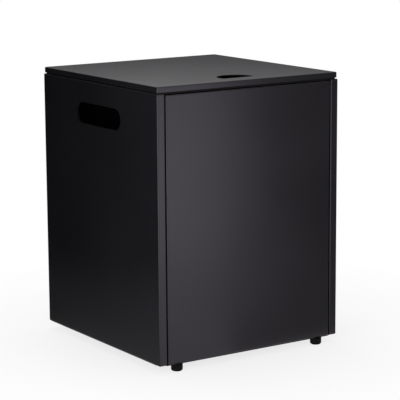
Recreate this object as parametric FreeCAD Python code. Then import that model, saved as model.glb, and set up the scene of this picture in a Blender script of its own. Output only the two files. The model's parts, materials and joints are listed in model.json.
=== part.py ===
import FreeCAD, Part
import math
import os

from FreeCAD import Vector

os.makedirs("parts", exist_ok=True)

# Propane tank cover table, millimetres.
# The origin is on the floor under the middle of the cabinet, +Z is up and the door faces -Y.
# Left and right are the viewer's, standing in front of the door.

# Cabinet
WIDTH = 400.0
DEPTH = 410.0
BODY_HEIGHT = 492.0
SHEET = 1.2
BEND = 2.0
STRIP = 16.0
STRIP_RETURN = 16.0

# Lid and the collar that it drops over
LID_INSET = 1.25
LID_EDGE = 10.5
LID_GAP = 2.5
LID_CORNER = 2.5
COLLAR_CLEARANCE = 0.75
COLLAR_HEIGHT = 9.0
COLLAR_LEG = 12.0
COLLAR_CORNER = 3.0
PAD_RADIUS = 3.5
PAD_SETBACK = 35.0
LID_RIB_WIDTH = 44.0
LID_RIB_DEPTH = 10.0
LID_RIB_MARGIN = 28.0
LID_RIB_SETBACK = 125.0
RIB_FLANGE = 11.0

# Finger hole of the lid
FINGER_WIDTH = 70.0
FINGER_STRAIGHT = 10.0
FINGER_SETBACK = 37.0
FINGER_CORNER = 4.0

# Handle slots of the side panels
HANDLE_LENGTH = 160.0
HANDLE_HEIGHT = 40.0
HANDLE_RISE = 432.0
HANDLE_LIP = 5.0

# Door
DOOR_GAP = 2.5
DOOR_TOP_GAP = 2.5
DOOR_BOTTOM_GAP = 0.8
DOOR_DEPTH = 15.0
DOOR_LIP = 12.0
DOOR_RIB_WIDTH = 60.0
DOOR_RIB_DEPTH = 10.0
DOOR_RIB_MARGIN = 30.0

# Door pivots
PIVOT_SETBACK = 9.0
PIVOT_INSET = 14.0
PIN_RADIUS = 2.5
PIN_REACH = 9.5
PIN_TIP = 0.8
PIN_CLEARANCE = 0.06
BUSH_RADIUS = 4.0
BUSH_FLANGE_RADIUS = 6.0
BUSH_FLANGE = 0.65
BUSH_LENGTH = 7.0
SWING_CLEARANCE = 1.2

# Header over the door, and the magnetic catch on it
HEADER_DROP = 24.0
HEADER_TAB = 16.0
CATCH_LENGTH = 36.0
CATCH_HEIGHT = 12.0
CATCH_INSET = 55.0
CATCH_GAP = 0.2
MAGNET_LENGTH = 24.0
MAGNET_HEIGHT = 5.0
STRIKE = 0.8
STRIKE_LENGTH = 32.0
STRIKE_HEIGHT = 10.0

# Base
BASE_SHEET = 1.5
BASE_INSET = 3.0
BASE_FRONT_INSET = 2.5
BASE_NOTCH = 13.5
DRAIN_RADIUS = 70.0
BASE_RAIL_WIDTH = 50.0
BASE_RAIL_DEPTH = 8.0
BASE_RAIL_SETBACK = 85.0
BASE_RAIL_MARGIN = 14.0

# Tank ring
RING_RADIUS = 104.0
RING_SHEET = 2.0
RING_HEIGHT = 24.0
RING_SETBACK = 5.0
RING_TABS = 3
RING_TAB_LENGTH = 14.0
RING_TAB_WIDTH = 22.0

# Back panel
BACK_FLANGE = 16.0
BACK_FIT = 0.4
HOSE_LENGTH = 72.0
HOSE_HEIGHT = 44.0
HOSE_RISE = 60.0
GROMMET_COVER = 4.0
GROMMET_INSIDE = 2.5
GROMMET_SIDE = 1.8
VENT_LENGTH = 60.0
VENT_HEIGHT = 6.0
VENT_PITCH = 16.0
VENT_ROWS = 2
VENT_X = 120.0

# Feet
FOOT_RADIUS = 10.8
FOOT_HEIGHT = 13.5
FOOT_BEVEL = 3.0
FOOT_SETBACK = 9.0
FOOT_INSET = 42.0

# Screws
SCREW_RADIUS = 2.0
SCREW_HEAD_RADIUS = 4.0
SCREW_HEAD = 1.5
SCREW_LENGTH = 8.0
BASE_SCREW_SETBACK = 55.0
SMALL_SCREW_RADIUS = 1.2
SMALL_SCREW_HEAD_RADIUS = 2.3
SMALL_SCREW_HEAD = 1.6
SHANK_SIDES = 8
HEAD_SIDES = 16

# Planes that the pieces share
LEFT = -WIDTH / 2
FRONT = -DEPTH / 2
BACK = DEPTH / 2
BOTTOM = FOOT_HEIGHT + BASE_SHEET
TOP = BOTTOM + BODY_HEIGHT
LID_BOTTOM = TOP + LID_GAP
LID_TOP = LID_BOTTOM + LID_EDGE
LID_UNDERSIDE = LID_TOP - SHEET
INNER_BEND = BEND - SHEET
DOOR_LEFT = LEFT + STRIP + DOOR_GAP
DOOR_BOTTOM = BOTTOM + DOOR_BOTTOM_GAP
DOOR_TOP = TOP - DOOR_TOP_GAP
DOOR_BACK = FRONT + DOOR_DEPTH
PIVOT_X = -DOOR_LEFT - PIVOT_INSET
PIVOT_Y = FRONT + PIVOT_SETBACK
SWING_RADIUS = math.hypot(PIVOT_INSET, max(PIVOT_SETBACK, DOOR_DEPTH - PIVOT_SETBACK))
HEADER_FACE = PIVOT_Y + SWING_RADIUS + SWING_CLEARANCE
COLLAR_SIDE = WIDTH / 2 - LID_INSET - SHEET - COLLAR_CLEARANCE
COLLAR_FRONT = DEPTH / 2 - LID_INSET - SHEET - COLLAR_CLEARANCE
COLLAR_TOP = TOP + COLLAR_HEIGHT
PAD_HEIGHT = LID_UNDERSIDE - COLLAR_TOP
STRIP_INNER = WIDTH / 2 - STRIP
BACK_SHEET = BACK - SHEET


def box(x0, x1, y0, y1, z0, z1):
    return Part.makeBox(x1 - x0, y1 - y0, z1 - z0, Vector(x0, y0, z0))


def cylinder(radius, x, y, z, length, axis=Vector(0, 0, 1)):
    return Part.makeCylinder(radius, length, Vector(x, y, z), axis)


def near(a, b):
    return abs(a - b) < 0.01


def fillet_where(shape, radius, test):
    """Round the straight edges whose bounding box passes the test."""
    edges = [edge for edge in shape.Edges if test(edge.BoundBox)]
    return shape.makeFillet(radius, edges)


def upright(bounds):
    return bounds.XLength < 0.01 and bounds.YLength < 0.01


def rounded_block(x0, x1, y0, y1, z0, z1, radius):
    """A block with its four upright edges rounded."""
    return fillet_where(box(x0, x1, y0, y1, z0, z1), radius, upright)


def stadium(length, height, depth):
    """A slot shape in the XY plane about the origin, long along X, extruded along Z."""
    radius = height / 2
    half = length / 2 - radius
    ends = [Vector(-half, radius, 0), Vector(-half, -radius, 0)]
    ends += [Vector(half, -radius, 0), Vector(half, radius, 0)]
    left = Part.Arc(ends[0], Vector(-half - radius, 0, 0), ends[1]).toShape()
    bottom = Part.LineSegment(ends[1], ends[2]).toShape()
    right = Part.Arc(ends[2], Vector(half + radius, 0, 0), ends[3]).toShape()
    top = Part.LineSegment(ends[3], ends[0]).toShape()
    return Part.Face(Part.Wire([top, left, bottom, right])).extrude(Vector(0, 0, depth))


def across_side(shape, x, y, z):
    """Turn an XY slot shape so that it is long along Y and runs into the cabinet along X."""
    shape.rotate(Vector(0, 0, 0), Vector(1, 0, 0), 90)
    shape.rotate(Vector(0, 0, 0), Vector(0, 0, 1), 90)
    shape.translate(Vector(x, y, z))
    return shape


def across_back(shape, x, y, z):
    """Turn an XY slot shape so that it is long along X and runs forwards along -Y."""
    shape.rotate(Vector(0, 0, 0), Vector(1, 0, 0), 90)
    shape.translate(Vector(x, y, z))
    return shape


def mirrored(shape):
    return shape.mirror(Vector(0, 0, 0), Vector(1, 0, 0))


def hat_section(width, depth, length, sheet):
    """A hat-shaped stiffener along X: its flanges lie at z = 0 and its crown points up."""
    half = width / 2
    crown = half - RIB_FLANGE
    outer = box(0, length, -crown, crown, 0, depth)
    outer = fillet_where(outer, BEND, lambda b: b.XLength > length / 2 and near(b.ZMin, depth))
    hollow = box(-1, length + 1, -crown + sheet, crown - sheet, -1, depth - sheet)
    flanges = box(0, length, -half, half, 0, sheet)
    section = outer.fuse(flanges).cut(hollow).removeSplitter()
    section.translate(Vector(-length / 2, 0, 0))
    return section


def placed(shape, x, y, z, axis=None, angle=0):
    copy = shape.copy()
    if axis is not None:
        copy.rotate(Vector(0, 0, 0), axis, angle)
    copy.translate(Vector(x, y, z))
    return copy


def prism(radius, length, sides):
    """A many-sided post along Z from z = 0, which stands for a small round one."""
    turns = [2 * math.pi * i / sides for i in range(sides + 1)]
    corners = [Vector(radius * math.cos(turn), radius * math.sin(turn), 0) for turn in turns]
    return Part.Face(Part.makePolygon(corners)).extrude(Vector(0, 0, length))


def screw(length, radius, head_radius, head):
    """A pan-head screw along Z: the seat of its head is at z = 0 and the shank runs down."""
    shank = prism(radius, length, SHANK_SIDES)
    shank.translate(Vector(0, 0, -length))
    return prism(head_radius, head, HEAD_SIDES).fuse(shank).removeSplitter()


def base_screw_places():
    """Screws that hold the base to the bottom flanges of the side panels."""
    x = WIDTH / 2 - STRIP / 2 - SHEET
    y = DEPTH / 2 - BASE_SCREW_SETBACK
    return [(-x, -y), (-x, y), (x, -y), (x, y)]


def foot_places():
    """Middle of each foot, by name."""
    x = WIDTH / 2 - FOOT_INSET
    y = DEPTH / 2 - FOOT_SETBACK
    return {"front_left": (-x, -y), "front_right": (x, -y), "rear_left": (-x, y), "rear_right": (x, y)}


def handle_slot(grow, depth):
    """The handle slot, grown all round, as a solid that starts at the outer face of the left panel."""
    slot = stadium(HANDLE_LENGTH + 2 * grow, HANDLE_HEIGHT + 2 * grow, depth)
    return across_side(slot, LEFT, 0, BOTTOM + HANDLE_RISE)


def side_panel():
    """Left side panel: a folded pan with strips front and back, flanges top and bottom and a handle slot."""
    inner_edge = LEFT + STRIP
    inside = LEFT + SHEET
    floor = BOTTOM + SHEET
    ceiling = TOP - SHEET
    strip_back = FRONT + STRIP_RETURN
    shell = box(LEFT, inner_edge, FRONT, BACK, BOTTOM, TOP)
    shell = fillet_where(shell, BEND, lambda b: near(b.XMax, LEFT) or near(b.YMax, FRONT))
    pocket = box(inside, inner_edge - SHEET, FRONT + SHEET, strip_back, floor, ceiling)
    pocket = fillet_where(pocket, INNER_BEND, lambda b: upright(b) and near(b.YMin, FRONT + SHEET))
    room = box(inside, inner_edge + SHEET, strip_back - SHEET, BACK_SHEET, floor, ceiling)
    at_back = lambda b: upright(b) and near(b.XMax, inside) and near(b.YMin, BACK_SHEET)
    room = fillet_where(room, INNER_BEND, at_back)
    shell = shell.cut(pocket).cut(room)
    lip = handle_slot(SHEET, HANDLE_LIP)
    lip = lip.cut(box(LEFT - 1, LEFT + SHEET / 2, FRONT, BACK, BOTTOM, TOP))
    shell = shell.fuse(lip).cut(handle_slot(0, 2 * HANDLE_LIP)).removeSplitter()
    for x, y in base_screw_places():
        if x < 0:
            shell = shell.cut(placed(prism(SCREW_RADIUS, 2 * SHEET, SHANK_SIDES), x, y, BOTTOM - SHEET / 2))
    return shell


def hose_slot(grow, y, depth):
    slot = stadium(HOSE_LENGTH + 2 * grow, HOSE_HEIGHT + 2 * grow, depth)
    return across_back(slot, 0, y, BOTTOM + HOSE_RISE)


def back_panel():
    """Back sheet behind the rear strips, with top and bottom flanges, vents and the hose slot."""
    half = WIDTH / 2 - SHEET - INNER_BEND
    inner = BACK_SHEET - SHEET
    sheet = box(-half, half, inner, BACK_SHEET, BOTTOM + SHEET + BACK_FIT, TOP - SHEET - BACK_FIT)
    between = STRIP_INNER - BACK_FIT
    tongue = box(-between, between, BACK_SHEET - BACK_FLANGE, BACK_SHEET, BOTTOM, TOP)
    tongue = fillet_where(tongue, BEND, lambda b: b.XLength > STRIP and near(b.YMin, BACK_SHEET))
    hollow = box(-WIDTH, WIDTH, 0, inner, BOTTOM + SHEET, TOP - SHEET)
    panel = sheet.fuse(tongue.cut(hollow)).removeSplitter()
    for row in range(VENT_ROWS):
        z = BOTTOM + HOSE_RISE + (row - (VENT_ROWS - 1) / 2) * VENT_PITCH
        for side in (-1, 1):
            vent = stadium(VENT_LENGTH, VENT_HEIGHT, 3 * SHEET)
            panel = panel.cut(across_back(vent, side * VENT_X, BACK, z))
    return panel.cut(hose_slot(0, BACK, 3 * SHEET))


def hose_grommet():
    """Rubber edging that grips the rim of the hose slot."""
    outside = BACK_SHEET + GROMMET_SIDE
    depth = SHEET + 2 * GROMMET_SIDE
    body = hose_slot(GROMMET_COVER, outside, depth)
    body = body.cut(hose_slot(-GROMMET_INSIDE, outside + 1, depth + 2))
    rim = box(-HOSE_LENGTH, HOSE_LENGTH, BACK_SHEET - SHEET, BACK_SHEET, BOTTOM, BOTTOM + 2 * HOSE_RISE)
    return body.cut(rim.cut(hose_slot(0, BACK, 3 * SHEET)))


def base_plate():
    """Flat floor under the panels, notched round the front strips, with a drain and air hole."""
    half = WIDTH / 2 - BASE_INSET
    plate = box(-half, half, FRONT + BASE_FRONT_INSET, BACK - BASE_INSET, FOOT_HEIGHT, BOTTOM)
    for side in (-1, 1):
        notch = box(-BASE_NOTCH, BASE_NOTCH, FRONT - 1, FRONT + STRIP_RETURN, 0, TOP)
        notch.translate(Vector(side * half, 0, 0))
        plate = plate.cut(notch)
    plate = plate.cut(cylinder(DRAIN_RADIUS, 0, RING_SETBACK, 0, TOP))
    for x, y in base_screw_places():
        plate = plate.cut(placed(prism(SCREW_RADIUS, TOP, SHANK_SIDES), x, y, 0))
    return plate.cut(cylinder(PIN_RADIUS, PIVOT_X, PIVOT_Y, 0, TOP))


def base_rail(y):
    """Hat-section stiffener under the base plate."""
    length = 2 * (STRIP_INNER - BASE_RAIL_MARGIN)
    rail = hat_section(BASE_RAIL_WIDTH, BASE_RAIL_DEPTH, length, SHEET)
    rail.rotate(Vector(0, 0, 0), Vector(1, 0, 0), 180)
    rail.translate(Vector(0, y, FOOT_HEIGHT))
    return rail


def tank_ring():
    """Rolled hoop that keeps the foot ring of the tank in place, with tabs welded to the base."""
    outer = RING_RADIUS + RING_SHEET
    hoop = Part.makeCylinder(outer, RING_HEIGHT)
    for i in range(RING_TABS):
        tab = box(0, outer + RING_TAB_LENGTH, -RING_TAB_WIDTH / 2, RING_TAB_WIDTH / 2, 0, RING_SHEET)
        tab.rotate(Vector(0, 0, 0), Vector(0, 0, 1), 90 + 360 * i / RING_TABS)
        hoop = hoop.fuse(tab)
    hoop = hoop.cut(cylinder(RING_RADIUS, 0, 0, -1, RING_HEIGHT + 2)).removeSplitter()
    hoop.translate(Vector(0, RING_SETBACK, BOTTOM))
    return hoop


def header():
    """Rail over the door: a ledge for the collar, a web behind the door and tabs on the side panels."""
    half = STRIP_INNER - BACK_FIT
    ledge = box(-half, half, -COLLAR_FRONT, HEADER_FACE + SHEET, TOP - SHEET, TOP)
    ledge = fillet_where(ledge, INNER_BEND, lambda b: near(b.YMin, HEADER_FACE + SHEET) and near(b.ZMin, TOP))
    wall = WIDTH / 2 - SHEET
    web_top = TOP - SHEET
    web = box(-wall, wall, HEADER_FACE, HEADER_FACE + SHEET, TOP - HEADER_DROP, web_top)
    rail = ledge.fuse(web)
    for side in (-1, 1):
        tab = box(0, SHEET, HEADER_FACE, HEADER_FACE + HEADER_TAB, TOP - HEADER_DROP, web_top)
        tab.translate(Vector(-wall if side < 0 else wall - SHEET, 0, 0))
        rail = rail.fuse(tab)
    rail = rail.removeSplitter().cut(cylinder(PIN_RADIUS, PIVOT_X, PIVOT_Y, BOTTOM, BODY_HEIGHT))
    for x, z in catch_screw_places():
        rail = rail.cut(placed(prism(SMALL_SCREW_RADIUS, DEPTH, SHANK_SIDES), x, 0, z, Vector(1, 0, 0), 90))
    return rail


def collar():
    """Channel-section ring on top of the cabinet, open inwards, that the lid drops over."""
    side = COLLAR_SIDE
    front = COLLAR_FRONT
    ring = rounded_block(-side, side, -front, front, TOP, COLLAR_TOP, COLLAR_CORNER)
    side -= SHEET
    front -= SHEET
    corner = COLLAR_CORNER - SHEET
    ring = ring.cut(rounded_block(-side, side, -front, front, TOP + SHEET, COLLAR_TOP - SHEET, corner))
    side = COLLAR_SIDE - COLLAR_LEG
    front = COLLAR_FRONT - COLLAR_LEG
    return ring.cut(box(-side, side, -front, front, TOP - 1, COLLAR_TOP + 1))


def lid_pads():
    """Rubber discs on the collar that the lid rests on."""
    side = COLLAR_SIDE - COLLAR_LEG / 2
    front = COLLAR_FRONT
    places = [(sx * side, sy * (front - PAD_SETBACK)) for sx in (-1, 1) for sy in (-1, 1)]
    pad = prism(PAD_RADIUS, PAD_HEIGHT, HEAD_SIDES)
    return Part.makeCompound([placed(pad, x, y, COLLAR_TOP) for x, y in places])


def finger_hole():
    """The finger hole of the lid: straight towards the front, round towards the back."""
    radius = FINGER_WIDTH / 2
    near_y = FRONT + FINGER_SETBACK
    far_y = near_y + FINGER_STRAIGHT
    block = box(-radius, radius, near_y, far_y, LID_BOTTOM, LID_TOP + 1)
    block = fillet_where(block, FINGER_CORNER, lambda b: upright(b) and near(b.YMin, near_y))
    arch = cylinder(radius, 0, far_y, LID_BOTTOM, LID_EDGE + 1)
    return block.fuse(arch.cut(box(-WIDTH, WIDTH, -DEPTH, far_y, BOTTOM, LID_TOP + 2))).removeSplitter()


def lid_panel():
    """Folded lid with a finger hole."""
    side = WIDTH / 2 - LID_INSET
    front = DEPTH / 2 - LID_INSET
    shell = rounded_block(-side, side, -front, front, LID_BOTTOM, LID_TOP, LID_CORNER)
    shell = fillet_where(shell, BEND, lambda b: near(b.ZMin, LID_TOP) and near(b.ZMax, LID_TOP))
    side -= SHEET
    front -= SHEET
    corner = LID_CORNER - SHEET
    shell = shell.cut(rounded_block(-side, side, -front, front, LID_BOTTOM - 1, LID_UNDERSIDE, corner))
    return shell.cut(finger_hole())


def lid_rib(y):
    """Hat-section stiffener under the lid."""
    length = WIDTH - 2 * LID_RIB_MARGIN
    rib = hat_section(LID_RIB_WIDTH, LID_RIB_DEPTH, length, SHEET)
    rib.rotate(Vector(0, 0, 0), Vector(1, 0, 0), 180)
    rib.translate(Vector(0, y, LID_UNDERSIDE))
    return rib


def door_panel():
    """Folded door pan, open at the back inside a narrow lip."""
    right = -DOOR_LEFT
    shell = box(DOOR_LEFT, right, FRONT, DOOR_BACK, DOOR_BOTTOM, DOOR_TOP)
    shell = fillet_where(shell, BEND, lambda b: near(b.YMin, FRONT))
    side = right - SHEET
    pocket = box(-side, side, FRONT + SHEET, DOOR_BACK - SHEET, DOOR_BOTTOM + SHEET, DOOR_TOP - SHEET)
    side = right - DOOR_LIP
    middle = FRONT + DOOR_DEPTH / 2
    window = box(-side, side, middle, DOOR_BACK + 1, DOOR_BOTTOM + DOOR_LIP, DOOR_TOP - DOOR_LIP)
    shell = shell.cut(pocket).cut(window)
    for z in (DOOR_BOTTOM - 1, DOOR_TOP - SHEET - 1):
        shell = shell.cut(cylinder(BUSH_RADIUS, PIVOT_X, PIVOT_Y, z, SHEET + 2))
    return shell


def door_rib():
    """Upright hat-section stiffener inside the door."""
    length = DOOR_TOP - DOOR_BOTTOM - 2 * DOOR_RIB_MARGIN
    rib = hat_section(DOOR_RIB_WIDTH, DOOR_RIB_DEPTH, length, SHEET)
    rib.rotate(Vector(0, 0, 0), Vector(0, 1, 0), 90)
    rib.rotate(Vector(0, 0, 0), Vector(0, 0, 1), 90)
    rib.translate(Vector(0, FRONT + SHEET, (DOOR_TOP + DOOR_BOTTOM) / 2))
    return rib


def bushing():
    """Flanged door bushing along Z, with its flange below z = 0."""
    body = Part.makeCylinder(BUSH_RADIUS, BUSH_LENGTH)
    flange = Part.makeCylinder(BUSH_FLANGE_RADIUS, BUSH_FLANGE, Vector(0, 0, -BUSH_FLANGE))
    bore = Part.makeCylinder(PIN_RADIUS + PIN_CLEARANCE, BUSH_LENGTH + 4, Vector(0, 0, -2))
    return body.fuse(flange).removeSplitter().cut(bore)


def pivot_pin(sheet):
    """Pivot pin along Z, pressed flush into its sheet: the outer face of the sheet is at z = 0."""
    length = sheet + PIN_REACH
    pin = Part.makeCylinder(PIN_RADIUS, length)
    return pin.makeChamfer(PIN_TIP, [edge for edge in pin.Edges if near(edge.BoundBox.ZMin, length)])


def foot(x, y):
    """Rubber foot with a bevelled sole, stuck to the base plate."""
    sole = Part.makeCone(FOOT_RADIUS - FOOT_BEVEL, FOOT_RADIUS, FOOT_BEVEL)
    body = sole.fuse(cylinder(FOOT_RADIUS, 0, 0, FOOT_BEVEL, FOOT_HEIGHT - FOOT_BEVEL))
    body.translate(Vector(x, y, 0))
    return body


def catch_middle():
    """Middle of the magnetic catch on the header, behind the free corner of the door."""
    return DOOR_LEFT + CATCH_INSET, DOOR_TOP - DOOR_LIP / 2


def catch_screw_places():
    """One screw at each side of the magnet."""
    x, z = catch_middle()
    reach = (CATCH_LENGTH + MAGNET_LENGTH) / 4
    return [(x - reach, z), (x + reach, z)]


def catch_block(length, height, y0, y1):
    x, z = catch_middle()
    return box(x - length / 2, x + length / 2, y0, y1, z - height / 2, z + height / 2)


def catch_housing():
    """Plastic housing of the magnetic catch, screwed to the web of the header."""
    face = DOOR_BACK + STRIKE + CATCH_GAP
    housing = catch_block(CATCH_LENGTH, CATCH_HEIGHT, face, HEADER_FACE)
    housing = housing.cut(catch_magnet())
    seat = face + SMALL_SCREW_HEAD
    bore = prism(SMALL_SCREW_RADIUS, DEPTH, SHANK_SIDES)
    sink = prism(SMALL_SCREW_HEAD_RADIUS, DEPTH, HEAD_SIDES)
    for x, z in catch_screw_places():
        housing = housing.cut(placed(bore, x, 0, z, Vector(1, 0, 0), 90))
        housing = housing.cut(placed(sink, x, seat, z, Vector(1, 0, 0), 90))
    return housing


def catch_magnet():
    face = DOOR_BACK + STRIKE + CATCH_GAP
    return catch_block(MAGNET_LENGTH, MAGNET_HEIGHT, face, HEADER_FACE - SHEET)


def catch_screws():
    seat = DOOR_BACK + STRIKE + CATCH_GAP + SMALL_SCREW_HEAD
    length = HEADER_FACE + 2 * SHEET - seat
    one = screw(length, SMALL_SCREW_RADIUS, SMALL_SCREW_HEAD_RADIUS, SMALL_SCREW_HEAD)
    return Part.makeCompound([placed(one, x, seat, z, Vector(1, 0, 0), 90) for x, z in catch_screw_places()])


def strike_plate():
    """Steel plate welded to the lip of the door, drawn by the magnet."""
    return catch_block(STRIKE_LENGTH, STRIKE_HEIGHT, DOOR_BACK, DOOR_BACK + STRIKE)


def base_screws():
    one = screw(SCREW_LENGTH, SCREW_RADIUS, SCREW_HEAD_RADIUS, SCREW_HEAD)
    flipped = placed(one, 0, 0, FOOT_HEIGHT, Vector(1, 0, 0), 180)
    return Part.makeCompound([placed(flipped, x, y, 0) for x, y in base_screw_places()])


def all_pieces():
    """Every node of the table, by name."""
    left = side_panel()
    pieces = {
        "left_side_panel": left,
        "right_side_panel": mirrored(left),
        "back_panel": back_panel(),
        "hose_grommet": hose_grommet(),
        "base_plate": base_plate(),
        "front_base_rail": base_rail(FRONT + BASE_RAIL_SETBACK),
        "rear_base_rail": base_rail(BACK - BASE_RAIL_SETBACK),
        "tank_ring": tank_ring(),
        "door_header": header(),
        "lid_collar": collar(),
        "lid_pads": lid_pads(),
        "base_screws": base_screws(),
        "lower_pivot_pin": placed(pivot_pin(BASE_SHEET), PIVOT_X, PIVOT_Y, FOOT_HEIGHT),
        "upper_pivot_pin": placed(pivot_pin(SHEET), PIVOT_X, PIVOT_Y, TOP, Vector(1, 0, 0), 180),
        "catch_housing": catch_housing(),
        "catch_magnet": catch_magnet(),
        "catch_screws": catch_screws(),
        "lid_panel": lid_panel(),
        "front_lid_rib": lid_rib(FRONT + LID_RIB_SETBACK),
        "rear_lid_rib": lid_rib(BACK - LID_RIB_SETBACK),
        "door_panel": door_panel(),
        "door_rib": door_rib(),
        "lower_door_bushing": placed(bushing(), PIVOT_X, PIVOT_Y, DOOR_BOTTOM),
        "upper_door_bushing": placed(bushing(), PIVOT_X, PIVOT_Y, DOOR_TOP, Vector(1, 0, 0), 180),
        "strike_plate": strike_plate(),
    }
    for name, (x, y) in foot_places().items():
        pieces[name + "_foot"] = foot(x, y)
    return pieces


for name, shape in all_pieces().items():
    shape.exportStep("parts/" + name + ".step")
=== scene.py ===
"""Propane tank cover table: finishes, small pieces, studio light and the photograph's camera.

Lengths are in metres and angles in degrees, unless a comment says otherwise.
"""
import json
import math

import bmesh
import bpy
from mathutils import Matrix, Vector

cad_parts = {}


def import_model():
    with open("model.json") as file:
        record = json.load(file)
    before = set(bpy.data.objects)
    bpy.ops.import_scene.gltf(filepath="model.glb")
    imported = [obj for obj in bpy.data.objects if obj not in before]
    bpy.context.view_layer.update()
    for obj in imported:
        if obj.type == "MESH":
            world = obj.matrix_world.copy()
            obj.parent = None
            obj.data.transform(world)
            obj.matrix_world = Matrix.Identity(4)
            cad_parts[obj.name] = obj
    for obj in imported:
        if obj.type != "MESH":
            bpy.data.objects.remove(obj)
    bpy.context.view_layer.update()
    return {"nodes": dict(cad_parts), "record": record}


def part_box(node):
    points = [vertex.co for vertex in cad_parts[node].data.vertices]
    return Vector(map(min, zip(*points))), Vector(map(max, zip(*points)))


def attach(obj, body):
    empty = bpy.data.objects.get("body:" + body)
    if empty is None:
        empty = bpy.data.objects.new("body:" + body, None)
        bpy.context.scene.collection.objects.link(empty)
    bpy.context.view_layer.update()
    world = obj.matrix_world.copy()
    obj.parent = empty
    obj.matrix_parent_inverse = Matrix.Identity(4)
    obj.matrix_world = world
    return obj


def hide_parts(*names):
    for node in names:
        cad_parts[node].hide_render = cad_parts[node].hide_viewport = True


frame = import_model()
SLOTS = {row["node"]: row["material_slot"] for row in frame["record"]["subparts"]}

# The camera stands where the photograph was taken from. Lens and sensor are in millimetres.
CAMERA_PLACE = Vector((-1.7979, -2.7407, 0.8832))
CAMERA_AZIMUTH = -33.630
CAMERA_ELEVATION = 10.647
CAMERA_ROLL = -0.375
CAMERA_REACH = 60.0
LENS = 155.73
SENSOR = 36.0

# Linear colours
BLACK = (0.0, 0.0, 0.0, 1.0)
WHITE = (1.0, 1.0, 1.0, 1.0)
COAT = (0.0060, 0.0054, 0.0065, 1.0)
COAT_DUST = (0.0076, 0.0069, 0.0081, 1.0)
COAT_TINT = (0.93, 0.865, 1.0, 1.0)
# Matt coat for the rim in the gap under the lid: darker than the satin coat as painted shade, so
# the gap reads black; the second colour is random tone
MATT_SHADE = (0.0030, 0.0029, 0.0031, 1.0)
MATT_SHADE_DUST = (0.0045, 0.0044, 0.0046, 1.0)
RUBBER = (0.0024, 0.0024, 0.0026, 1.0)
RUBBER_WORN = (0.0038, 0.0038, 0.0041, 1.0)
ZINC = (0.55, 0.56, 0.58, 1.0)
ZINC_DULL = (0.38, 0.39, 0.40, 1.0)
BLACK_OXIDE = (0.03, 0.03, 0.032, 1.0)
BLACK_OXIDE_WORN = (0.07, 0.07, 0.072, 1.0)
PLASTIC = (0.014, 0.014, 0.015, 1.0)
PLASTIC_PALE = (0.022, 0.022, 0.023, 1.0)
FERRITE = (0.035, 0.034, 0.036, 1.0)
FERRITE_GROUND = (0.075, 0.073, 0.076, 1.0)
FLOOR = (0.92, 0.92, 0.92, 1.0)

# Where the noise turns a finish from its first colour to its second, and from smooth to rough
COLOUR_TURN = (0.35, 0.65)
ROUGHNESS_TURN = (0.3, 0.7)

# A grain is its size, its detail and how many times finer it runs along Z
CLOUD_GRAIN = (0.18, 3.0, 1.0)
RUBBER_GRAIN = (0.006, 3.0, 1.0)
METAL_GRAIN = (0.004, 3.0, 1.0)
PLASTIC_GRAIN = (0.01, 2.0, 1.0)
GROUND_GRAIN = (0.0008, 2.0, 12.0)
PEEL = 0.0016
FINE = 0.0004

# The finish of each slot: its patches of colour and roughness, and its bumps, which are a grain
# and a height each. Satin powder coat has orange peel and soft clouds of sheen, the matt coat on
# the rim in the gap under the lid is darker than the satin coat, painted shade that keeps the gap
# black, and plated metal has fine scratches.
FINISHES = {
    "black_powder_coat": {
        "name": "powder_coat",
        "grain": CLOUD_GRAIN,
        "colours": (COAT, COAT_DUST),
        "roughness": (0.34, 0.38),
        "bumps": [((PEEL, 2.0, 1.0), 0.00002), ((FINE, 1.0, 1.0), 0.000006)],
        "sockets": {"Specular IOR Level": 0.44, "Specular Tint": COAT_TINT},
    },
    # Painted shade: a darker coat on the rim in the gap under the lid, so the gap reads black
    "matt_black_coat": {
        "name": "matt_coat_painted_shade",
        "grain": CLOUD_GRAIN,
        "colours": (MATT_SHADE, MATT_SHADE_DUST),
        "roughness": (0.75, 0.85),
        "bumps": [((PEEL, 3.0, 1.0), 0.00003), ((FINE, 2.0, 1.0), 0.00001)],
        "sockets": {"Specular IOR Level": 0.15},
    },
    "black_rubber": {
        "name": "rubber",
        "grain": RUBBER_GRAIN,
        "colours": (RUBBER, RUBBER_WORN),
        "roughness": (0.6, 0.8),
        "bumps": [((FINE, 3.0, 1.0), 0.00003)],
        "sockets": {"Specular IOR Level": 0.08},
    },
    "zinc_steel": {
        "name": "zinc_plate",
        "grain": METAL_GRAIN,
        "colours": (ZINC_DULL, ZINC),
        "roughness": (0.28, 0.40),
        "bumps": [((0.0006, 2.0, 6.0), 0.000008)],
        "sockets": {"Metallic": 1.0},
    },
    "black_oxide_steel": {
        "name": "black_oxide",
        "grain": METAL_GRAIN,
        "colours": (BLACK_OXIDE, BLACK_OXIDE_WORN),
        "roughness": (0.42, 0.54),
        "bumps": [((FINE, 2.0, 6.0), 0.000008)],
        "sockets": {"Metallic": 1.0},
    },
    "black_plastic": {
        "name": "black_plastic",
        "grain": PLASTIC_GRAIN,
        "colours": (PLASTIC, PLASTIC_PALE),
        "roughness": (0.5, 0.58),
        "bumps": [((FINE, 2.0, 1.0), 0.00001)],
        "sockets": {},
    },
    "ferrite_magnet": {
        "name": "ferrite",
        "grain": GROUND_GRAIN,
        "colours": (FERRITE, FERRITE_GROUND),
        "roughness": (0.35, 0.5),
        "bumps": [(GROUND_GRAIN, 0.00001)],
        "sockets": {},
    },
}

# Edges of the thick and moulded CAD pieces, and the angle at which an edge of a piece is sharp
SOFT_EDGES = {
    "catch_housing": 0.0005,
    "catch_magnet": 0.0003,
    "strike_plate": 0.0002,
    "tank_ring": 0.0003,
    "base_plate": 0.0002,
}
WELD_REACH = 0.00001
BEVEL_ANGLE = 50
BEVEL_STEPS = 2
SHARP_ANGLE = 38

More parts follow.
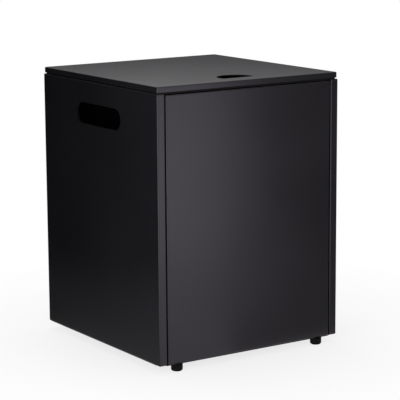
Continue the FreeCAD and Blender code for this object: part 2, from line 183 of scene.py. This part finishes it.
# Rubber feet. The moulding line is a groove near the top: steps inwards and down, in line widths.
FOOT_SIDES = 48
SOLE_ROLL = 0.0042
SOLE_ROLL_STEPS = 8
SOLE_DISH = 0.0012
DISH_FLAT = 0.3
DISH_EDGE = 0.42
LINE = 0.0006
LINE_STEPS = ((0, 2.4), (1, 2), (1, 1), (0, 0.6))

# Rubber pads under the lid. Their rims are rolled by a share of their height.
PAD_SIDES = 32
PAD_RADIUS = 0.0035
PAD_ROLL = 0.3
PAD_ROLL_STEPS = 4

# Screws in millimetres. Each one is turned further than the last, in radians.
MILLIMETRE = 0.001
BASE_SCREW = {"head_radius": 4.0, "head": 1.5, "radius": 2.0, "pitch": 0.7}
BASE_SCREW_LENGTH = 8.0
CATCH_SCREW = {"head_radius": 2.3, "head": 1.6, "radius": 1.2, "pitch": 0.5}
SCREW_TURN = 0.7

# Pan head and its cross recess, as shares of the head's radius or height
HEAD_SIDES = 36
HEAD_RIM = 0.35
HEAD_RIM_END = 70
HEAD_RIM_STEPS = 4
HEAD_FLAT = 0.4
RECESS_DEPTH = 0.7
RECESS_RISE = 0.3
RECESS_MOUTH = (0.56, 0.13)
RECESS_FLOOR = (0.2, 0.08)
QUAD = ((-1, -1), (1, -1), (1, 1), (-1, 1))

# Thread of a screw. Its depth is a share of the pitch.
THREAD_SIDES = 24
THREAD_DEPTH = 0.3
THREAD_RINGS = 4

# Rubber edging of the hose opening
LIP_COVER = 0.004
LIP_INSIDE = 0.0025
LIP_ROLL = 0.0009
LIP_SWELL = 0.0012
LIP_STEPS = 4
LIP_END_STEPS = 24
PANEL_SHEET = 0.0012

# Spot welds: the profile of a mark, and its places on the rails, the ribs and the tank ring
WELD_SIDES = 20
WELD_PROFILE = (
    (0.0, 0.00012), (0.0011, 0.00010), (0.0017, 0.00016), (0.0022, 0.00012), (0.0025, -0.00005),
)
WELDS_PER_FLANGE = 6
WELD_MARGIN = 0.02
WELD_INSET = 0.0045
RIB_SHEET = 0.0012
RING_MIDDLE = 0.005
RING_TAB = 0.002
RING_TABS = 3
RING_WELD = 0.113
RING_WELD_ASIDE = 0.006

# Floor: near black under the middle, a thin shadow round the object, plain white further out.
# It turns white between the two reaches, and the thin shadow starts at the edge, a share of that.
FLOOR_HALF = 14.0
FLOOR_ROUGHNESS = 0.9
SHADOW_REACH = 0.085
FADE_REACH = 0.75
SHADOW_EDGE = 0.075
SHADOW_THIN = (0.75, 0.75, 0.75, 1.0)
WORLD_LIGHT = 0.5

# Lamps: name, place, target, width and height, power in watts. The key box stands at the front
# right, where the left of the door mirrors it, the side box lights the left panel's near edge,
# and the top box is a soft light overhead that is too narrow to light the panel's upper bend.
LAMPS = (
    ("key_box", (0.317, -0.905, 0.24), (-0.15, -0.2, 0.24), (0.25, 0.46), 0.85),
    ("side_box", (-0.94, -0.69, 0.24), (-0.2, -0.2, 0.24), (0.35, 0.45), 4.0),
    ("top_box", (0.0, 0.5, 2.4), (0.0, 0.0, 0.3), (0.9, 2.0), 19.0),
)

# Cards that keep reflections dark. A slope is a direction, its start and end, and the grey at
# both.
CARD_SLOPES = {
    "flag_black": (),
    "flag_side": (
        ((0, 1, 0), 0.34, 0.0, 0.0, 0.055),
        ((0, 0.12, 1), 0.155, 0.0, 0.0, 0.155),
    ),
    "flag_side_floor": (((0, 1, 0), 0.36, -0.05, 0.06, 0.24),),
    "flag_ground": (((0, 1, 0), -1.1, -0.7, 0.03, 0.21),),
    "flag_back": (((0, 0, 1), 0.52, 0.68, 0.31, 0.0),),
}
# Their shapes, in this order: for the left panel, for its foot, for the foot of the door, for the
# right of the door, for the bend along the door's top, and for the lid
CARD_LOW = 0.002
CARDS = (
    ("side_flag", "flag_side",
     ((-0.30, -0.2, 0), (-0.30, 1.6, 0), (-0.30, 1.6, 1.4), (-0.30, -0.2, 1.4))),
    ("side_floor_flag", "flag_side_floor",
     ((-0.30, -0.3, CARD_LOW), (-0.21, -0.3, CARD_LOW),
      (-0.21, 1.6, CARD_LOW), (-0.30, 1.6, CARD_LOW))),
    ("floor_flag", "flag_ground",
     ((-0.012, -0.25, CARD_LOW), (0.34, -0.72, CARD_LOW), (2.24, -3.5, CARD_LOW),
      (4.0, -3.5, CARD_LOW), (4.0, -0.25, CARD_LOW))),
    ("door_flag", "flag_black",
     ((0.29, -0.73, 0), (1.6, -1.6, 0), (1.6, -1.6, 1.6), (0.29, -0.73, 1.6))),
    ("top_flag", "flag_black",
     ((0.85, -1.2, 1.5), (2.2, -1.2, 1.5), (2.2, 0.6, 1.5), (0.85, 0.6, 1.5))),
    ("back_flag", "flag_back",
     ((-0.4, 1.12, 0), (1.3, 0.02, 0), (1.3, 0.02, 0.86), (0.348, 0.636, 0.755),
      (-0.4, 1.12, 0.83))),
)


def noise(tree, place, size, detail, finer):
    """Noise whose lumps are about as wide as the size, and finer along Z by the last number."""
    node = tree.nodes.new("ShaderNodeTexNoise")
    node.inputs["Scale"].default_value = 1.0 / size
    node.inputs["Detail"].default_value = detail
    if finer != 1.0:
        mapping = tree.nodes.new("ShaderNodeMapping")
        mapping.inputs["Scale"].default_value = (1.0, 1.0, finer)
        tree.links.new(place, mapping.inputs["Vector"])
        place = mapping.outputs["Vector"]
    tree.links.new(place, node.inputs["Vector"])
    return node.outputs["Fac"]


def colour_between(tree, factor, low, high):
    """A colour that turns from low to high with the factor."""
    node = tree.nodes.new("ShaderNodeValToRGB")
    for element, position, colour in zip(node.color_ramp.elements, COLOUR_TURN, (low, high)):
        element.position = position
        element.color = colour
    tree.links.new(factor, node.inputs["Fac"])
    return node.outputs["Color"]


def number_between(tree, value, start, end, low=0.0, high=1.0):
    """A number that runs from low to high while the value runs from start to end."""
    node = tree.nodes.new("ShaderNodeMapRange")
    limits = {"From Min": start, "From Max": end, "To Min": low, "To Max": high}
    for name, limit in limits.items():
        node.inputs[name].default_value = limit
    tree.links.new(value, node.inputs["Value"])
    return node.outputs["Result"]


def slope(tree, place, direction, start, end, low, high):
    """A number that runs from low at the start to high at the end along a direction."""
    along = tree.nodes.new("ShaderNodeVectorMath")
    along.operation = "DOT_PRODUCT"
    tree.links.new(place, along.inputs[0])
    along.inputs[1].default_value = direction
    return number_between(tree, along.outputs["Value"], start, end, low, high)


def combine(tree, operation, one, other):
    """The result of a math operation on two numbers."""
    node = tree.nodes.new("ShaderNodeMath")
    node.operation = operation
    tree.links.new(one, node.inputs[0])
    tree.links.new(other, node.inputs[1])
    return node.outputs["Value"]


def bump(tree, factor, height, normal):
    """A bump of a height, on top of the normal of an earlier one."""
    node = tree.nodes.new("ShaderNodeBump")
    node.inputs["Distance"].default_value = height
    tree.links.new(factor, node.inputs["Height"])
    if normal is not None:
        tree.links.new(normal, node.inputs["Normal"])
    return node.outputs["Normal"]


def mix(tree, share, one, other, surface):
    """Send a mix of two shaders to a surface socket."""
    node = tree.nodes.new("ShaderNodeMixShader")
    tree.links.new(share, node.inputs["Fac"])
    tree.links.new(one, node.inputs[1])
    tree.links.new(other, node.inputs[2])
    tree.links.new(node.outputs["Shader"], surface)


def new_material(name):
    """A material, its node tree and its Principled shader."""
    material = bpy.data.materials.new(name)
    material.use_nodes = True
    return material, material.node_tree, material.node_tree.nodes["Principled BSDF"]


def finish(look):
    """Build the procedural material that a row of FINISHES describes."""
    material, tree, shader = new_material(look["name"])
    place = tree.nodes.new("ShaderNodeTexCoord").outputs["Object"]
    grain = noise(tree, place, *look["grain"])
    colour = colour_between(tree, grain, *look["colours"])
    roughness = number_between(tree, grain, *ROUGHNESS_TURN, *look["roughness"])
    tree.links.new(colour, shader.inputs["Base Color"])
    tree.links.new(roughness, shader.inputs["Roughness"])
    for name, value in look["sockets"].items():
        shader.inputs[name].default_value = value
    normal = None
    for bump_grain, height in look["bumps"]:
        normal = bump(tree, noise(tree, place, *bump_grain), height, normal)
    tree.links.new(normal, shader.inputs["Normal"])
    return material


MATERIALS = {slot: finish(look) for slot, look in FINISHES.items()}


def soften(node, width):
    """Break the sharp edges of a node, as sanding, moulding or a thick coat does."""
    weld = node.modifiers.new("weld", "WELD")
    weld.merge_threshold = WELD_REACH
    bevel = node.modifiers.new("bevel", "BEVEL")
    bevel.width = width
    bevel.segments = BEVEL_STEPS
    bevel.limit_method = "ANGLE"
    bevel.angle_limit = math.radians(BEVEL_ANGLE)
    bevel.use_clamp_overlap = True
    bevel.harden_normals = True


def dress_nodes():
    """Give each CAD node its slot's finish, and break the edges of the thick ones."""
    for name, node in frame["nodes"].items():
        node.data.materials.clear()
        node.data.materials.append(MATERIALS[SLOTS[name]])
    for name, width in SOFT_EDGES.items():
        soften(frame["nodes"][name], width)


def in_scene(name, data):
    """Put a mesh, a light or a camera into the scene."""
    piece = bpy.data.objects.new(name, data)
    bpy.context.scene.collection.objects.link(piece)
    return piece


def mesh_from(name, draft):
    """Turn a draft into a mesh."""
    mesh = bpy.data.meshes.new(name)
    draft.to_mesh(mesh)
    draft.free()
    return mesh


def finished_piece(name, draft, body, slot):
    """Make a piece that rides on a body: a slot's finish, smooth but for its sharp edges."""
    mesh = mesh_from(name, draft)
    mesh.shade_smooth()
    mesh.set_sharp_from_angle(angle=math.radians(SHARP_ANGLE))
    mesh.materials.append(MATERIALS[slot])
    piece = in_scene(name, mesh)
    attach(piece, body)
    return piece


def stand_in(name, draft, node):
    """Make a piece of the cabinet that takes a CAD node's place and finish."""
    piece = finished_piece(name, draft, "cabinet", SLOTS[node])
    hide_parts(node)


def add(whole, part, place):
    """Put a part into the whole at a place."""
    part.transform(place)
    mesh = mesh_from("part", part)
    whole.from_mesh(mesh)
    bpy.data.meshes.remove(mesh)


def turned(profile, sides, twist=None):
    """Turn a profile of radius and height pairs about Z. A twist moves a point in or out."""
    draft = bmesh.new()
    rings = []
    for radius, height in profile:
        ring = []
        for i in range(sides if radius > 0 else 1):
            turn = 2 * math.pi * i / sides
            reach = radius + (twist(turn, height) if twist else 0.0)
            ring.append(draft.verts.new((reach * math.cos(turn), reach * math.sin(turn), height)))
        rings.append(ring)
    for low, high in zip(rings, rings[1:]):
        for i in range(sides):
            j = (i + 1) % sides
            below = [low[i % len(low)], low[j % len(low)]]
            above = [high[j % len(high)], high[i % len(high)]]
            draft.faces.new(list(dict.fromkeys(below + above)))
    bmesh.ops.recalc_face_normals(draft, faces=draft.faces)
    return draft


def arc(radius, height, reach, start, end, steps):
    """Points of an arc in a profile, from its centre, its own radius and its two angles."""
    turns = [math.radians(start + (end - start) * i / steps) for i in range(steps + 1)]
    return [(radius + reach * math.cos(turn), height + reach * math.sin(turn)) for turn in turns]


def rubber_foot(name, node):
    """Round foot with a rolled sole, a dished middle and a fine moulding line near its top."""
    low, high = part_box(node)
    radius = (high.x - low.x) / 2
    height = high.z - low.z
    profile = [(0.0, SOLE_DISH), (radius * DISH_FLAT, SOLE_DISH), (radius * DISH_EDGE, 0.0)]
    profile += arc(radius - SOLE_ROLL, SOLE_ROLL, SOLE_ROLL, -90, 0, SOLE_ROLL_STEPS)
    profile += [(radius - inwards * LINE, height - down * LINE) for inwards, down in LINE_STEPS]
    profile += [(radius, height), (0.0, height)]
    draft = turned(profile, FOOT_SIDES)
    middle = ((low.x + high.x) / 2, (low.y + high.y) / 2, low.z)
    bmesh.ops.translate(draft, verts=draft.verts, vec=middle)
    stand_in(name, draft, node)


def pads():
    """The four rubber discs under the lid, with rolled rims."""
    low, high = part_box("lid_pads")
    height = high.z - low.z
    roll = PAD_ROLL * height
    profile = [(0.0, 0.0)] + arc(PAD_RADIUS - roll, roll, roll, -90, 0, PAD_ROLL_STEPS)
    profile += arc(PAD_RADIUS - roll, height - roll, roll, 0, 90, PAD_ROLL_STEPS) + [(0.0, height)]
    whole = bmesh.new()
    for x in (low.x + PAD_RADIUS, high.x - PAD_RADIUS):
        for y in (low.y + PAD_RADIUS, high.y - PAD_RADIUS):
            add(whole, turned(profile, PAD_SIDES), Matrix.Translation((x, y, low.z)))
    stand_in("lid_rest_pads", whole, "lid_pads")


def cross_recess(head_radius, depth):
    """Tapered cross-shaped cutter for the driver, pointing down from z = 0."""
    draft = bmesh.new()
    rise = RECESS_RISE * depth
    for turn in (0, math.pi / 2):
        corners = []
        for (reach, width), height in ((RECESS_MOUTH, rise), (RECESS_FLOOR, -depth)):
            half, thin = head_radius * reach, head_radius * width
            corners += [Vector((x * half, y * thin, height)) for x, y in QUAD]
        verts = [draft.verts.new(Matrix.Rotation(turn, 3, "Z") @ corner) for corner in corners]
        draft.faces.new(verts[:4])
        draft.faces.new(verts[7:3:-1])
        for i in range(4):
            j = (i + 1) % 4
            draft.faces.new([verts[i], verts[i + 4], verts[j + 4], verts[j]])
    bmesh.ops.recalc_face_normals(draft, faces=draft.faces)
    return draft


def screw_head(radius, height):
    """Pan head in millimetres, its seat at z = 0, with the cross recess cut by a boolean."""
    rim = HEAD_RIM * height
    profile = [(0.0, 0.0), (radius, 0.0)]
    profile += arc(radius - rim, height - rim, rim, 0, HEAD_RIM_END, HEAD_RIM_STEPS)
    profile += [(radius * HEAD_FLAT, height), (0.0, height)]
    head = in_scene("head", mesh_from("head", turned(profile, HEAD_SIDES)))
    cutter = in_scene("cutter", mesh_from("cutter", cross_recess(radius, RECESS_DEPTH * height)))
    cutter.location.z = height
    cut = head.modifiers.new("recess", "BOOLEAN")
    cut.object = cutter
    cut.solver = "EXACT"
    cut.use_self = True
    bpy.context.view_layer.update()
    draft = bmesh.new()
    draft.from_mesh(head.evaluated_get(bpy.context.evaluated_depsgraph_get()).to_mesh())
    for piece in (head, cutter):
        mesh = piece.data
        bpy.data.objects.remove(piece)
        bpy.data.meshes.remove(mesh)
    return draft


def threaded_shank(radius, length, pitch):
    """Shank in millimetres that runs down from z = 0 with a helical thread."""
    depth = THREAD_DEPTH * pitch

    def thread(turn, height):
        phase = (height / pitch - turn / (2 * math.pi)) % 1.0
        fade = min(1.0, -height / pitch, (height + length) / pitch)
        return -depth * (1.0 - abs(2.0 * phase - 1.0) * max(fade, 0.0))

    count = round(length / pitch) * THREAD_RINGS
    profile = [(radius, -length * i / count) for i in range(count + 1)]
    return turned([(0.0, 0.0)] + profile + [(0.0, -length)], THREAD_SIDES, thread)


def screws(name, node, places, screw, length, facing):
    """Cross-head screws in one piece. Facing takes +Z, where a head points, to its direction."""
    whole = bmesh.new()
    for index, place in enumerate(places):
        turn = Matrix.Rotation(index * SCREW_TURN, 4, "Z")
        seat = Matrix.Translation(place) @ facing @ turn @ Matrix.Scale(MILLIMETRE, 4)
        add(whole, screw_head(screw["head_radius"], screw["head"]), seat)
        add(whole, threaded_shank(screw["radius"], length, screw["pitch"]), seat)
    stand_in(name, whole, node)


def base_screws():
    """The four screws of the base plate, with their heads below it."""
    low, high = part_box("base_screws")
    inset = BASE_SCREW["head_radius"] * MILLIMETRE
    seat = low.z + BASE_SCREW["head"] * MILLIMETRE
    rows = (low.y + inset, high.y - inset)
    places = [(x, y, seat) for x in (low.x + inset, high.x - inset) for y in rows]
    down = Matrix.Rotation(math.pi, 4, "X")
    screws("base_fixing_screws", "base_screws", places, BASE_SCREW, BASE_SCREW_LENGTH, down)


def catch_screws():
    """The two screws of the door catch, with their heads to the front."""
    low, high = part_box("catch_screws")
    inset = CATCH_SCREW["head_radius"] * MILLIMETRE
    seat = low.y + CATCH_SCREW["head"] * MILLIMETRE
    length = (high.y - seat) / MILLIMETRE
    places = [(x, seat, (low.z + high.z) / 2) for x in (low.x + inset, high.x - inset)]
    front = Matrix.Rotation(math.pi / 2, 4, "X")
    screws("catch_fixing_screws", "catch_screws", places, CATCH_SCREW, length, front)


def edging_section(inside, outside):
    """Channel section of the hose edging: distance out from the opening's edge, and depth."""
    flange = (outside - inside - PANEL_SHEET) / 2
    swell = LIP_SWELL - LIP_INSIDE
    section = arc(LIP_COVER - LIP_ROLL, outside - LIP_ROLL, LIP_ROLL, 90, 0, LIP_STEPS)
    section += [(LIP_COVER, outside - flange), (0.0, outside - flange)]
    section += [(0.0, inside + flange), (LIP_COVER, inside + flange)]
    section += arc(LIP_COVER - LIP_ROLL, inside + LIP_ROLL, LIP_ROLL, 0, -90, LIP_STEPS)
    section += arc(swell, inside + LIP_SWELL, LIP_SWELL, -90, -180, LIP_STEPS)
    section += arc(swell, outside - LIP_SWELL, LIP_SWELL, 180, 90, LIP_STEPS)
    return section


def hose_edging():
    """Rubber edging of the hose opening: a soft-lipped channel section swept round the slot."""
    low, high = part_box("hose_grommet")
    middle = (low.z + high.z) / 2
    radius = (high.z - low.z) / 2 - LIP_COVER
    half = (high.x - low.x) / 2 - LIP_COVER - radius
    section = edging_section(low.y, high.y)
    draft = bmesh.new()
    rings = []
    for x, start in ((half, -90), (-half, 90)):
        for i in range(LIP_END_STEPS + 1):
            turn = math.radians(start + 180 * i / LIP_END_STEPS)
            ring = []
            for out, y in section:
                reach = radius + out
                corner = (x + reach * math.cos(turn), y, middle + reach * math.sin(turn))
                ring.append(draft.verts.new(corner))
            rings.append(ring)
    for one, other in zip(rings, rings[1:] + rings[:1]):
        for i in range(len(section)):
            j = (i + 1) % len(section)
            draft.faces.new([one[i], one[j], other[j], other[i]])
    bmesh.ops.recalc_face_normals(draft, faces=draft.faces)
    stand_in("hose_edging", draft, "hose_grommet")


def flange_welds(*nodes):
    """Places of the marks along both flanges of rails or ribs. They face down."""
    places = []
    for node in nodes:
        low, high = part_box(node)
        run = high.x - low.x - 2 * WELD_MARGIN
        for i in range(WELDS_PER_FLANGE):
            x = low.x + WELD_MARGIN + run * i / (WELDS_PER_FLANGE - 1)
            for y in (low.y + WELD_INSET, high.y - WELD_INSET):
                place = Matrix.Translation((x, y, high.z - RIB_SHEET))
                places.append(place @ Matrix.Rotation(math.pi, 4, "X"))
    return places


def ring_welds():
    """Places of the two marks on each tab of the tank ring. They face up."""
    low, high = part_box("tank_ring")
    middle = Vector(((low.x + high.x) / 2, RING_MIDDLE, low.z + RING_TAB))
    places = []
    for i in range(RING_TABS):
        turn = math.radians(90 + 360 * i / RING_TABS)
        out = Vector((math.cos(turn), math.sin(turn), 0))
        across = Vector((-math.sin(turn), math.cos(turn), 0))
        for aside in (-RING_WELD_ASIDE, RING_WELD_ASIDE):
            places.append(Matrix.Translation(middle + out * RING_WELD + across * aside))
    return places


def spot_welds():
    """Shallow weld marks on the base rails and the tank ring, and on the ribs of the lid."""
    marks = {
        "cabinet": flange_welds("front_base_rail", "rear_base_rail") + ring_welds(),
        "lid": flange_welds("front_lid_rib", "rear_lid_rib"),
    }
    for body, places in marks.items():
        whole = bmesh.new()
        for place in places:
            add(whole, turned(WELD_PROFILE, WELD_SIDES), place)
        finished_piece(body + "_spot_welds", whole, body, "black_powder_coat")


def stage_sheet(name, corners, material):
    """A flat sheet of the stage."""
    mesh = bpy.data.meshes.new(name)
    mesh.from_pydata(corners, [], [tuple(range(len(corners)))])
    mesh.materials.append(material)
    piece = in_scene(name, mesh)
    return piece


def seen_directly(tree):
    """1 for rays from the camera and for reflected and refracted ones, 0 for scattered light."""
    path = tree.nodes.new("ShaderNodeLightPath")
    total = path.outputs["Is Camera Ray"]
    for name in ("Is Glossy Ray", "Is Transmission Ray"):
        total = combine(tree, "MAXIMUM", total, path.outputs[name])
    return total


def floor_material():
    """Matt white floor that is plain white where it is seen well away from the object."""
    material, tree, matt = new_material("floor_white")
    matt.inputs["Base Color"].default_value = FLOOR
    matt.inputs["Roughness"].default_value = FLOOR_ROUGHNESS
    matt.inputs["Specular IOR Level"].default_value = 0.0
    glow = tree.nodes.new("ShaderNodeEmission")
    glow.inputs["Color"].default_value = WHITE
    place = tree.nodes.new("ShaderNodeTexCoord").outputs["Object"]
    distance = tree.nodes.new("ShaderNodeVectorMath")
    distance.operation = "LENGTH"
    tree.links.new(place, distance.inputs[0])
    fade = number_between(tree, distance.outputs["Value"], SHADOW_REACH, FADE_REACH)
    steps = tree.nodes.new("ShaderNodeValToRGB")
    steps.color_ramp.elements.new(SHADOW_EDGE).color = SHADOW_THIN
    tree.links.new(fade, steps.inputs["Fac"])
    share = combine(tree, "MULTIPLY", steps.outputs["Color"], seen_directly(tree))
    surface = tree.nodes["Material Output"].inputs["Surface"]
    mix(tree, share, matt.outputs["BSDF"], glow.outputs["Emission"], surface)
    return material


def floor():
    """Pale floor that runs far out on all sides."""
    corners = [(x * FLOOR_HALF, y * FLOOR_HALF, 0) for x, y in QUAD]
    stage_sheet("floor", corners, floor_material())


def card_material(name, slopes):
    """Black card, or one that turns grey along each of the slopes."""
    material, tree, matt = new_material(name)
    matt.inputs["Base Color"].default_value = BLACK
    matt.inputs["Specular IOR Level"].default_value = 0.0
    if slopes:
        place = tree.nodes.new("ShaderNodeTexCoord").outputs["Object"]
        strength = slope(tree, place, *slopes[0])
        for row in slopes[1:]:
            strength = combine(tree, "ADD", strength, slope(tree, place, *row))
        matt.inputs["Emission Color"].default_value = WHITE
        tree.links.new(strength, matt.inputs["Emission Strength"])
    return material


def cards():
    """Black and grey cards, as a studio sets them, that are met by reflections only."""
    materials = {name: card_material(name, slopes) for name, slopes in CARD_SLOPES.items()}
    for name, material, corners in CARDS:
        piece = stage_sheet(name, corners, materials[material])
        piece.visible_camera = False
        piece.visible_diffuse = False
        piece.visible_shadow = False
        piece.visible_transmission = False


def world():
    """Plain studio surround: white where it is seen, grey as light."""
    made = bpy.data.worlds.new("studio")
    bpy.context.scene.world = made
    made.use_nodes = True
    tree = made.node_tree
    tree.nodes.clear()
    shades = []
    for strength in (WORLD_LIGHT, 1.0):
        shade = tree.nodes.new("ShaderNodeBackground")
        shade.inputs["Color"].default_value = WHITE
        shade.inputs["Strength"].default_value = strength
        shades.append(shade.outputs["Background"])
    surface = tree.nodes.new("ShaderNodeOutputWorld").inputs["Surface"]
    mix(tree, seen_directly(tree), *shades, surface)


def lamps():
    """The soft boxes, each turned from its place to its target and hidden from the camera."""
    for name, place, target, size, power in LAMPS:
        data = bpy.data.lights.new(name, "AREA")
        data.shape = "RECTANGLE"
        data.size, data.size_y = size
        data.energy = power
        piece = in_scene(name, data)
        piece.location = Vector(place)
        piece.rotation_mode = "QUATERNION"
        piece.rotation_quaternion = (Vector(target) - Vector(place)).to_track_quat("-Z", "Y")
        piece.visible_camera = False


def camera():
    """Camera at the photograph's place, with its small tilt to one side."""
    azimuth = math.radians(CAMERA_AZIMUTH)
    elevation = math.radians(CAMERA_ELEVATION)
    roll = math.radians(CAMERA_ROLL)
    level = Vector((math.cos(azimuth), math.sin(azimuth), 0))
    across = Vector((level.y, -level.x, 0))
    back = math.cos(elevation) * across + Vector((0, 0, math.sin(elevation)))
    up = back.cross(level)
    right = math.cos(roll) * level + math.sin(roll) * up
    top = math.cos(roll) * up - math.sin(roll) * level
    data = bpy.data.cameras.new("camera")
    data.lens = LENS
    data.sensor_width = SENSOR
    data.clip_end = CAMERA_REACH
    piece = in_scene("camera", data)
    turn = Matrix((right, top, back)).transposed().to_4x4()
    piece.matrix_world = Matrix.Translation(CAMERA_PLACE) @ turn
    bpy.context.scene.camera = piece


dress_nodes()
for corner in ("front_left", "front_right", "rear_left", "rear_right"):
    rubber_foot("rubber_foot_" + corner, corner + "_foot")
pads()
base_screws()
catch_screws()
hose_edging()
spot_welds()
floor()
world()
cards()
lamps()
camera()
bpy.context.scene.view_settings.view_transform = "Standard"
